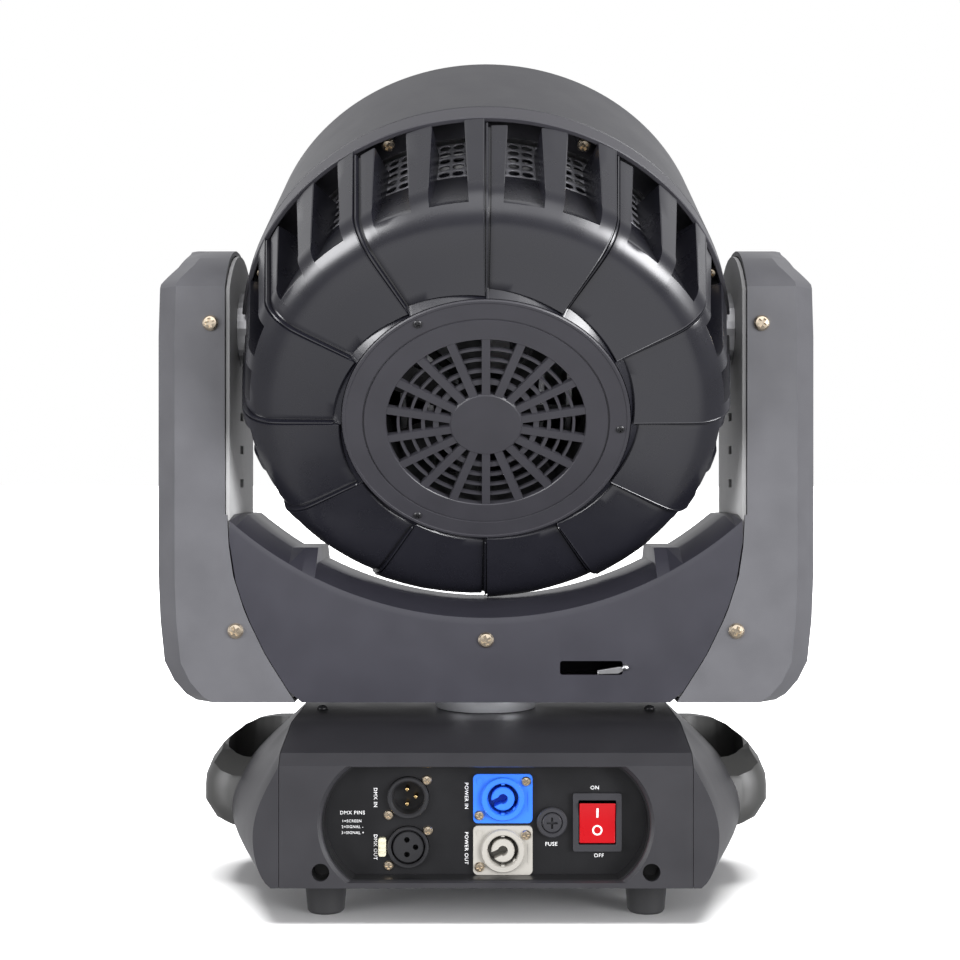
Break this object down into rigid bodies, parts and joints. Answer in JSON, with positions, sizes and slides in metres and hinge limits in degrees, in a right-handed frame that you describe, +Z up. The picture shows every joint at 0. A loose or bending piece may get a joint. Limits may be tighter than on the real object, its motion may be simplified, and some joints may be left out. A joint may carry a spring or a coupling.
{
  "type": "moving head light",
  "caption": "Stage light on a panning yoke with a tilting round head, segmented rear shell with fan grille, and a base with power and signal sockets.",
  "frame": {"origin": "centre of the underside of the base, on the pan axis", "axes": "+Z up along the pan axis, -Y out of the connector panel, +X to the right of somebody facing the connectors; the tilt axis is parallel to X"},
  "size_m": [0.38, 0.2944, 0.4828],
  "materials": {
    "plastic": "fine textured",
    "gloss": "satin",
    "saddle": "fine textured",
    "grey_plastic": "fine textured",
    "panel": "powder coated",
    "grey_metal": "satin paint",
    "steel": "plated",
    "aluminium": "machined",
    "dark_metal": "dark plated",
    "motor": "satin paint",
    "rubber": "matte",
    "board": "solder mask",
    "glass": "clear",
    "blue_plastic": "satin",
    "pale_plastic": "satin",
    "cream_plastic": "satin",
    "red_plastic": "gloss"
  },
  "bodies": {
    "base": {"base_plate": "steel", "base_shell": "plastic", "connector_bay": "plastic", "end_cap_left": "plastic", "end_cap_right": "plastic", "handle_left": "grey_plastic", "handle_right": "grey_plastic", "connector_panel": "panel", "dmx_in": "dark_metal", "dmx_out": "dark_metal", "power_in": "blue_plastic", "power_out": "pale_plastic", "fuse_holder": "plastic", "switch_bezel": "plastic", "display_panel": "panel", "display_window": "glass", "main_board": "board", "power_supply": "aluminium", "pan_bearing": "aluminium", "pan_motor": "motor", "pan_belt": "rubber", "foot_front_left": "rubber", "foot_front_right": "rubber", "foot_rear_left": "rubber", "foot_rear_right": "rubber"},
    "yoke": {"pan_hub": "aluminium", "pan_pulley": "steel", "yoke_frame": "grey_metal", "arm_cover_left": "plastic", "arm_cover_right": "plastic", "saddle_cover": "saddle", "tilt_motor": "motor", "tilt_belt": "rubber", "tilt_driver_board": "board"},
    "head": {"head_shell": "gloss", "fan_grille": "plastic", "fan_frame": "plastic", "heat_sink": "aluminium", "led_board": "board", "head_frame": "steel", "rim_ring": "plastic", "front_bezel": "plastic", "vent_mesh": "steel", "tilt_shaft_left": "steel", "tilt_shaft_right": "steel", "tilt_pulley": "steel"},
    "lenses": {"lens_plate": "panel", "lens_array": "glass"},
    "fan": {"fan_rotor": "plastic"},
    "pan_motor_pulley": {"pan_motor_pulley": "steel"},
    "tilt_motor_pulley": {"tilt_motor_pulley": "steel"},
    "rocker": {"rocker": "red_plastic"},
    "fuse_cap": {"fuse_cap": "plastic"},
    "dmx_out_latch": {"dmx_out_latch": "cream_plastic"},
    "pan_lock_lever": {"pan_lock_lever": "steel"},
    "menu_button_1": {"menu_button_1": "rubber"},
    "menu_button_2": {"menu_button_2": "rubber"},
    "menu_button_3": {"menu_button_3": "rubber"},
    "menu_button_4": {"menu_button_4": "rubber"}
  },
  "joints": [
    {"name": "pan", "type": "hinge", "parent": "base", "child": "yoke", "pos_m": [0, 0, 0], "axis": [0, 0, 1], "range_deg": [-270, 270]},
    {"name": "tilt", "type": "hinge", "parent": "yoke", "child": "head", "pos_m": [0, 0, 0.3076], "axis": [1, 0, 0], "range_deg": [-62, 168]},
    {"name": "pan_motor_turn", "type": "hinge", "parent": "base", "child": "pan_motor_pulley", "pos_m": [0.07, 0, 0], "axis": [0, 0, 1], "range_deg": [-1021, 1021]},
    {"name": "tilt_motor_turn", "type": "hinge", "parent": "yoke", "child": "tilt_motor_pulley", "pos_m": [0, 0, 0.125], "axis": [1, 0, 0], "range_deg": [-207, 561]},
    {"name": "fan_spin", "type": "hinge", "parent": "head", "child": "fan", "pos_m": [0, 0, 0.3076], "axis": [0, 0.8007, 0.599], "continuous": true},
    {"name": "zoom", "type": "slide", "parent": "head", "child": "lenses", "axis": [0, 0.8007, 0.599], "range_m": [-0.024, 0]},
    {"name": "power_rocker", "type": "hinge", "parent": "base", "child": "rocker", "pos_m": [0.06, -0.102, 0.0324], "axis": [1, 0, 0], "range_deg": [-14, 0]},
    {"name": "fuse_cap_turn", "type": "hinge", "parent": "base", "child": "fuse_cap", "pos_m": [0.0356, -0.102, 0.0322], "axis": [0, -1, 0], "range_deg": [0, 45]},
    {"name": "latch_press", "type": "slide", "parent": "base", "child": "dmx_out_latch", "axis": [0, 1, 0], "range_m": [0, 0.002], "stiffness_N_per_m": 400, "springref_m": -0.001},
    {"name": "pan_lock", "type": "slide", "parent": "yoke", "child": "pan_lock_lever", "axis": [-1, 0, 0], "range_m": [0, 0.029]},
    {"name": "menu_button_1_press", "type": "slide", "parent": "base", "child": "menu_button_1", "axis": [0, -1, 0], "range_m": [0, 0.0015], "stiffness_N_per_m": 300, "springref_m": -0.0008},
    {"name": "menu_button_2_press", "type": "slide", "parent": "base", "child": "menu_button_2", "axis": [0, -1, 0], "range_m": [0, 0.0015], "stiffness_N_per_m": 300, "springref_m": -0.0008},
    {"name": "menu_button_3_press", "type": "slide", "parent": "base", "child": "menu_button_3", "axis": [0, -1, 0], "range_m": [0, 0.0015], "stiffness_N_per_m": 300, "springref_m": -0.0008},
    {"name": "menu_button_4_press", "type": "slide", "parent": "base", "child": "menu_button_4", "axis": [0, -1, 0], "range_m": [0, 0.0015], "stiffness_N_per_m": 300, "springref_m": -0.0008}
  ],
  "couplings": [
    {"joint": "pan_motor_turn", "follows": "pan", "ratio": 3.7778},
    {"joint": "tilt_motor_turn", "follows": "tilt", "ratio": 3.3333}
  ]
}
